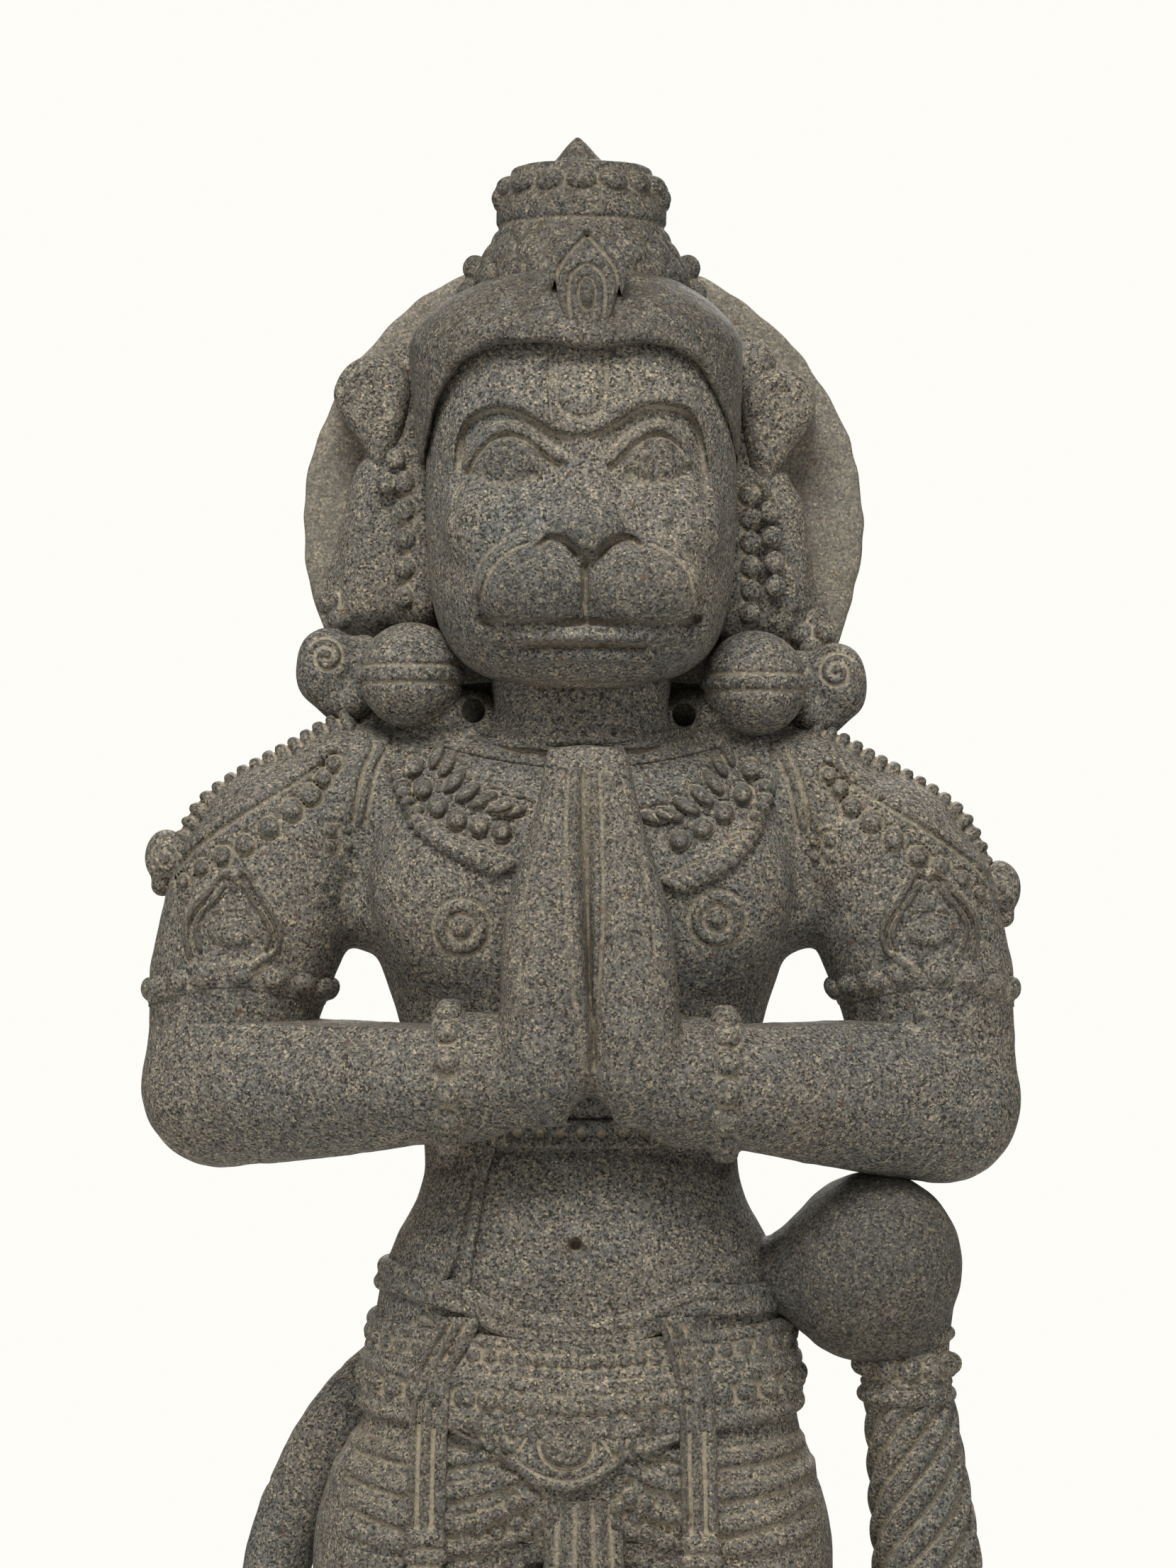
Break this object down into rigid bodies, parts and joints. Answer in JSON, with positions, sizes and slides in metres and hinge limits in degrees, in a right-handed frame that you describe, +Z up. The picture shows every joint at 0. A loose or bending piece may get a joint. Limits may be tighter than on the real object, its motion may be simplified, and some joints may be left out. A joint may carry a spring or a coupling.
{
  "type": "standing stone deity statue",
  "caption": "Standing granite temple figure with joined palms, disc halo, tall crown and a mace at its left side, on a lotus base and plinth.",
  "frame": {"origin": "middle of the plinth's flat underside", "axes": "+Z up, the figure faces -Y, +X is the figure's own left side, where the mace stands"},
  "size_m": [0.69, 0.4, 1.6],
  "materials": {
    "granite": "fine chiselled and rubbed, matte, grey with black and cream grains",
    "granite_carved_ornament": "the same stone left rough and paler by the chisel in the ornaments",
    "granite_weathered": "the same stone darkened by weather on the crown"
  },
  "bodies": {
    "root": {"anklet_left": "granite_carved_ornament", "anklet_right": "granite_carved_ornament", "armlet_left": "granite_carved_ornament", "armlet_right": "granite_carved_ornament", "ball_earring_left": "granite", "ball_earring_right": "granite", "bead_strand_left": "granite_carved_ornament", "bead_strand_right": "granite_carved_ornament", "belt": "granite_carved_ornament", "belt_plaque": "granite_carved_ornament", "bracelet_left": "granite_carved_ornament", "bracelet_right": "granite_carved_ornament", "cap": "granite_weathered", "centre_pleat": "granite_carved_ornament", "chest_band": "granite_carved_ornament", "collar": "granite_carved_ornament", "crest_leaf": "granite_weathered", "crown_base": "granite_weathered", "crown_drum": "granite_weathered", "dhoti_hem_left": "granite_carved_ornament", "dhoti_hem_right": "granite_carved_ornament", "ear_left": "granite", "ear_right": "granite", "finial": "granite_weathered", "foot_left": "granite", "foot_right": "granite", "forearm_left": "granite", "forearm_right": "granite", "garland_left": "granite_carved_ornament", "garland_right": "granite_carved_ornament", "halo": "granite", "head": "granite", "headband": "granite_weathered", "hips": "granite", "joined_hands": "granite", "lotus_base": "granite", "lower_leg_left": "granite", "lower_leg_right": "granite", "mace_collar": "granite_carved_ornament", "mace_foot": "granite_carved_ornament", "mace_head": "granite", "mace_shaft": "granite_carved_ornament", "neck": "granite", "plinth": "granite", "sacred_thread": "granite_carved_ornament", "sash_strap_left": "granite_carved_ornament", "sash_strap_right": "granite_carved_ornament", "scroll_knob_left": "granite_carved_ornament", "scroll_knob_right": "granite_carved_ornament", "shoulder_knob_left": "granite_carved_ornament", "shoulder_knob_right": "granite_carved_ornament", "shoulder_ribbon_left": "granite_carved_ornament", "shoulder_ribbon_right": "granite_carved_ornament", "tail": "granite", "thigh_left": "granite", "thigh_right": "granite", "torso": "granite", "upper_arm_left": "granite", "upper_arm_right": "granite", "waist_sash": "granite_carved_ornament"}
  },
  "joints": []
}
